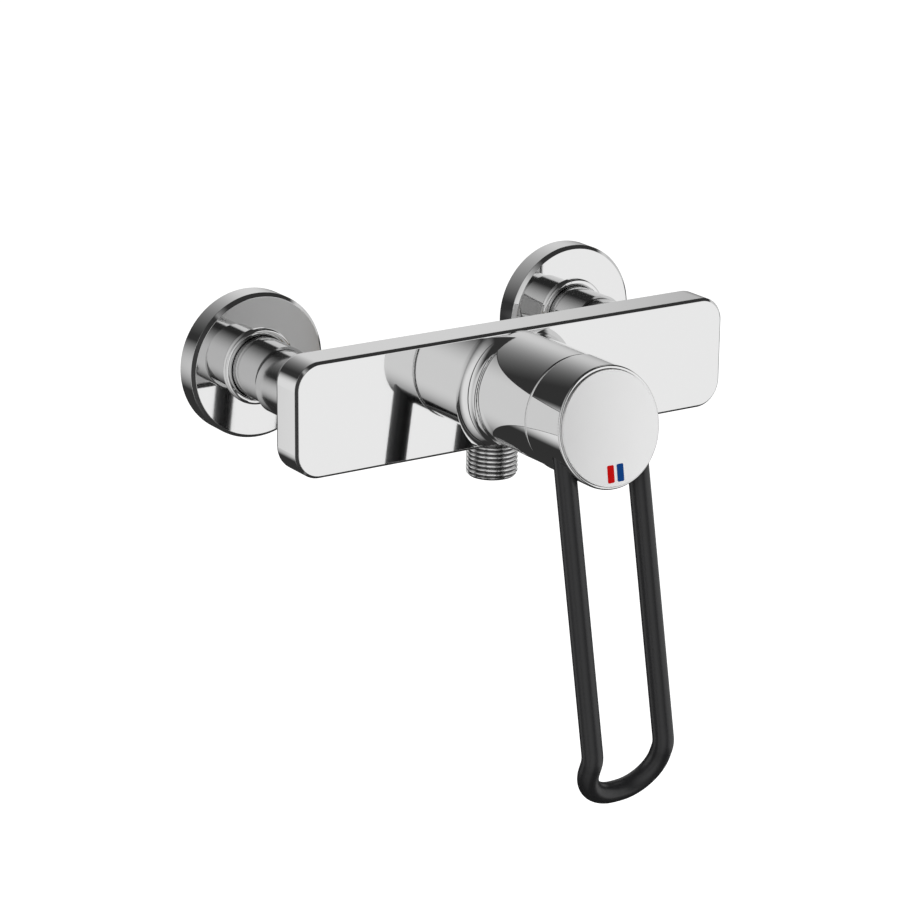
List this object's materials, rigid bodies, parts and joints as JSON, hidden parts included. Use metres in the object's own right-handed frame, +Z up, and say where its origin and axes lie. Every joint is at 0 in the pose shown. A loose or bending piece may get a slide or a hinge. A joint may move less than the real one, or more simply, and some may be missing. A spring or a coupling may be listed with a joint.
{
  "type": "shower mixer",
  "caption": "Wall-mounted exposed shower mixer: flat rounded block, round neck, hub with a long looped lever, threaded hose outlet below, S-unions with round rosettes.",
  "frame": {"origin": "midway between the two wall inlets, on the plane of the finished wall", "axes": "+Z up, +X right as seen from the front, the front faces -Y, the wall is on the +Y side"},
  "size_m": [0.213, 0.1802, 0.1828],
  "materials": {
    "polished_chrome": "polished",
    "satin_black": "satin",
    "raw_brass": "cast and machined",
    "white_plastic": "moulded",
    "grey_plastic": "moulded",
    "light_plastic": "moulded",
    "ceramic": "ground and lapped",
    "black_rubber": "moulded",
    "spring_steel": "plain",
    "red_enamel": "smooth",
    "blue_enamel": "smooth"
  },
  "bodies": {
    "body": {"rosette_left": "polished_chrome", "rosette_seal_left": "black_rubber", "s_union_left": "polished_chrome", "union_nut_left": "polished_chrome", "nut_ring_left": "spring_steel", "union_washer_left": "black_rubber", "check_valve_left": "grey_plastic", "valve_spring_left": "spring_steel", "rosette_right": "polished_chrome", "rosette_seal_right": "black_rubber", "s_union_right": "polished_chrome", "union_nut_right": "polished_chrome", "nut_ring_right": "spring_steel", "union_washer_right": "black_rubber", "check_valve_right": "grey_plastic", "valve_spring_right": "spring_steel", "body_shell": "polished_chrome", "waterway": "raw_brass", "back_cover": "light_plastic", "cover_screws": "spring_steel", "waterway_screws": "spring_steel", "outlet_nipple": "polished_chrome", "outlet_seal": "black_rubber", "cartridge_housing": "white_plastic", "cartridge_base": "white_plastic", "base_seals": "black_rubber", "fixed_disc": "ceramic", "retaining_nut": "raw_brass", "glide_ring": "grey_plastic"},
    "carrier": {"carrier": "grey_plastic", "pivot_pin": "spring_steel"},
    "lever": {"stem": "raw_brass", "lever_hub": "polished_chrome", "hub_cap": "polished_chrome", "red_mark": "red_enamel", "blue_mark": "blue_enamel", "set_screw": "spring_steel", "lever_loop": "satin_black", "loop_screws": "spring_steel"},
    "disc": {"moving_disc": "ceramic", "disc_slider": "white_plastic"},
    "poppet_left": {"poppet_left": "white_plastic"},
    "poppet_right": {"poppet_right": "white_plastic"}
  },
  "joints": [
    {"name": "temperature", "type": "hinge", "parent": "body", "child": "carrier", "pos_m": [0, -0.1126, -0.0022], "axis": [0, -1, 0], "range_deg": [-50, 50]},
    {"name": "lift", "type": "hinge", "parent": "carrier", "child": "lever", "pos_m": [0, -0.1126, -0.0022], "axis": [-1, 0, 0], "range_deg": [0, 25]},
    {"name": "disc_slide", "type": "slide", "parent": "carrier", "child": "disc", "axis": [0, 0, -1], "range_m": [0, 0.0041]},
    {"name": "poppet_left_slide", "type": "slide", "parent": "body", "child": "poppet_left", "axis": [0, -1, 0], "range_m": [0, 0.0022], "stiffness_N_per_m": 60, "springref_m": -0.002},
    {"name": "poppet_right_slide", "type": "slide", "parent": "body", "child": "poppet_right", "axis": [0, -1, 0], "range_m": [0, 0.0022], "stiffness_N_per_m": 60, "springref_m": -0.002}
  ],
  "couplings": [
    {"joint": "disc_slide", "follows": "lift", "m_per_rad": 0.0093}
  ]
}
